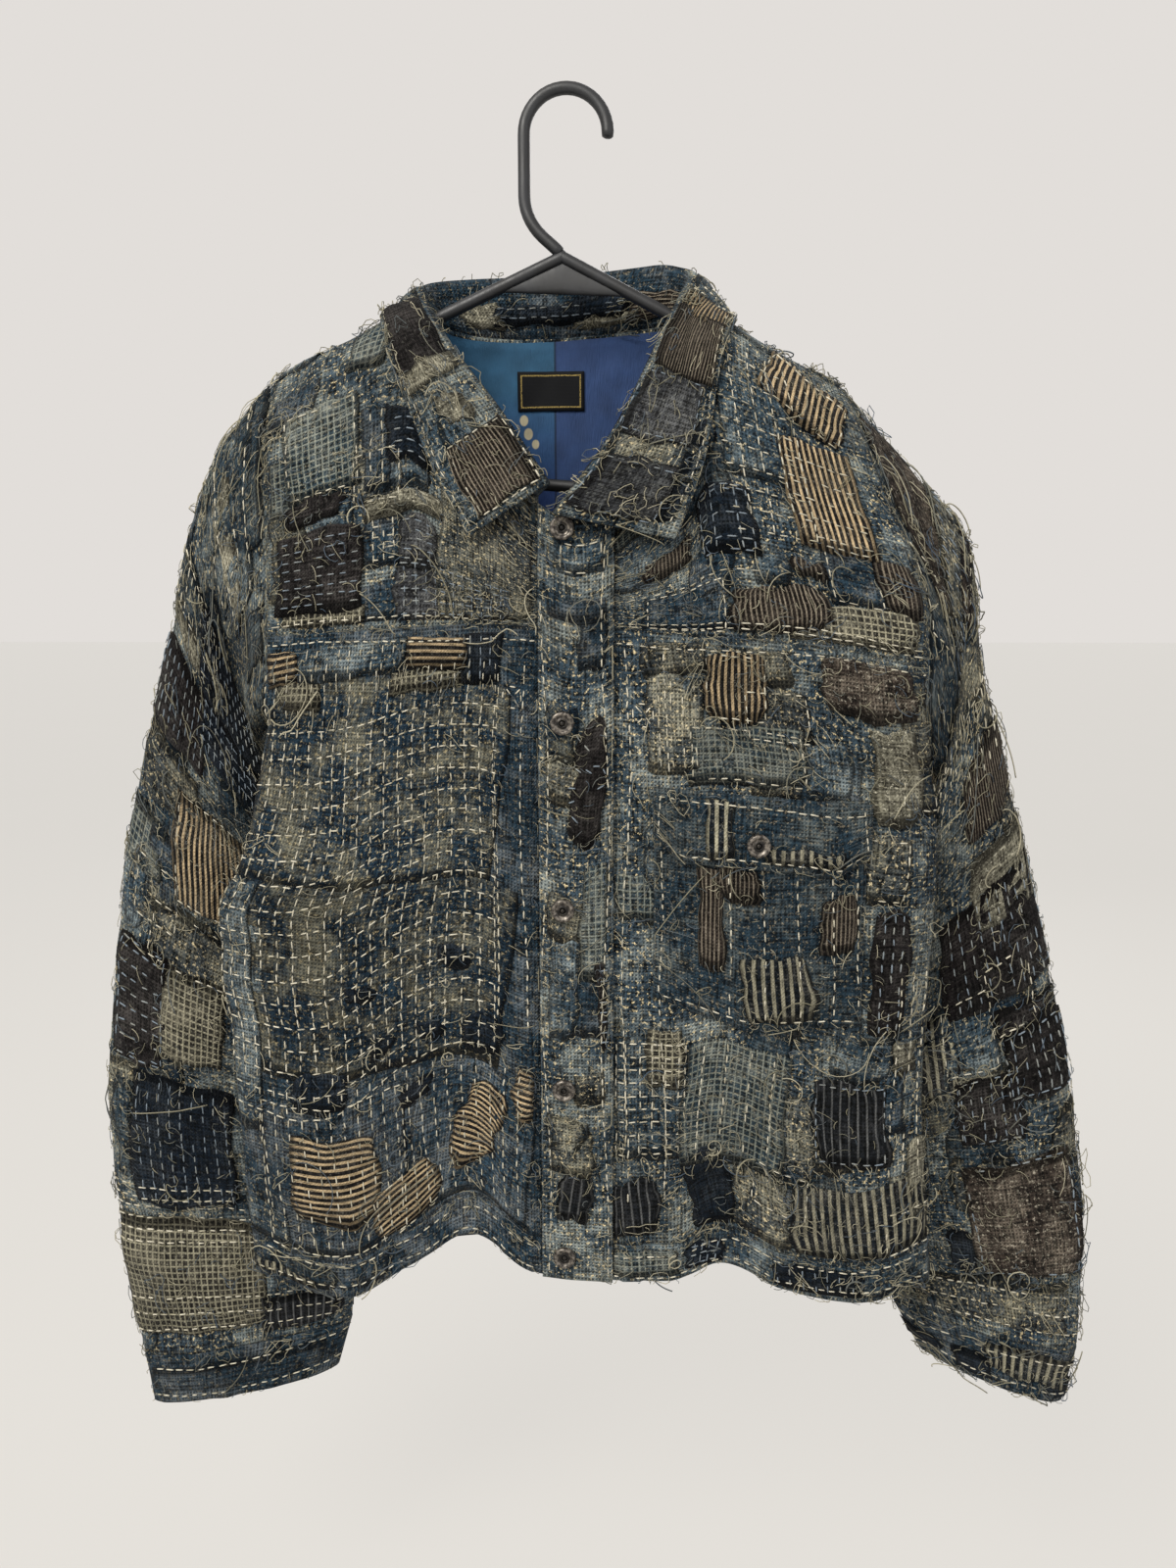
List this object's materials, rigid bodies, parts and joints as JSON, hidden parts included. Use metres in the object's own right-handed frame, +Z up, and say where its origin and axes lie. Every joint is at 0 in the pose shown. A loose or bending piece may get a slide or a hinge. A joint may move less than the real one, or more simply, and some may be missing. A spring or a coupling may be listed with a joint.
{
  "type": "patched boro jacket on a hanger",
  "caption": "Waist-length work jacket of many stitched indigo and brown patches, buttoned, hung on a plastic hanger by its hook.",
  "frame": {"origin": "top inside of the hanger's hook, where a rail bears", "axes": "+Z up, -Y out of the jacket's front, +X towards the wearer's left side"},
  "size_m": [0.7051, 0.1288, 0.9276],
  "materials": {
    "indigo_boro_cloth": "worn woven cotton, many cloths stitched together",
    "indigo_band_cloth": "worn woven cotton, two layers",
    "brown_patch_cloth": "ribbed and tweed cotton",
    "blue_lining": "smooth cotton",
    "black_label": "woven",
    "antique_brass": "antique, dark",
    "black_plastic": "satin"
  },
  "bodies": {
    "root": {"front_right": "indigo_boro_cloth", "front_left": "indigo_boro_cloth", "yoke_right": "indigo_boro_cloth", "yoke_left": "indigo_boro_cloth", "back": "indigo_boro_cloth", "yoke_back": "indigo_boro_cloth", "sleeve_front_right": "indigo_boro_cloth", "sleeve_back_right": "indigo_boro_cloth", "sleeve_front_left": "indigo_boro_cloth", "sleeve_back_left": "indigo_boro_cloth", "collar_stand": "indigo_boro_cloth", "collar_fall": "indigo_boro_cloth", "pocket": "indigo_boro_cloth", "pocket_flap": "indigo_boro_cloth", "band_left": "indigo_band_cloth", "stand_right": "indigo_band_cloth", "hem_right": "indigo_band_cloth", "hem_left": "indigo_band_cloth", "hem_back": "indigo_band_cloth", "cuff_right": "indigo_band_cloth", "cuff_left": "indigo_band_cloth", "patch_brown_shoulder": "brown_patch_cloth", "patch_rib_low_right": "brown_patch_cloth", "patch_tweed_chest": "brown_patch_cloth", "patch_pinstripe_low_left": "brown_patch_cloth", "lining_neck": "blue_lining", "label": "black_label", "button_1": "antique_brass", "button_2": "antique_brass", "button_3": "antique_brass", "button_4": "antique_brass", "button_5": "antique_brass", "button_pocket": "antique_brass", "hanger_hook": "black_plastic", "hanger_arm_right": "black_plastic", "hanger_arm_left": "black_plastic", "hanger_bar": "black_plastic", "hanger_web": "black_plastic"}
  },
  "joints": []
}
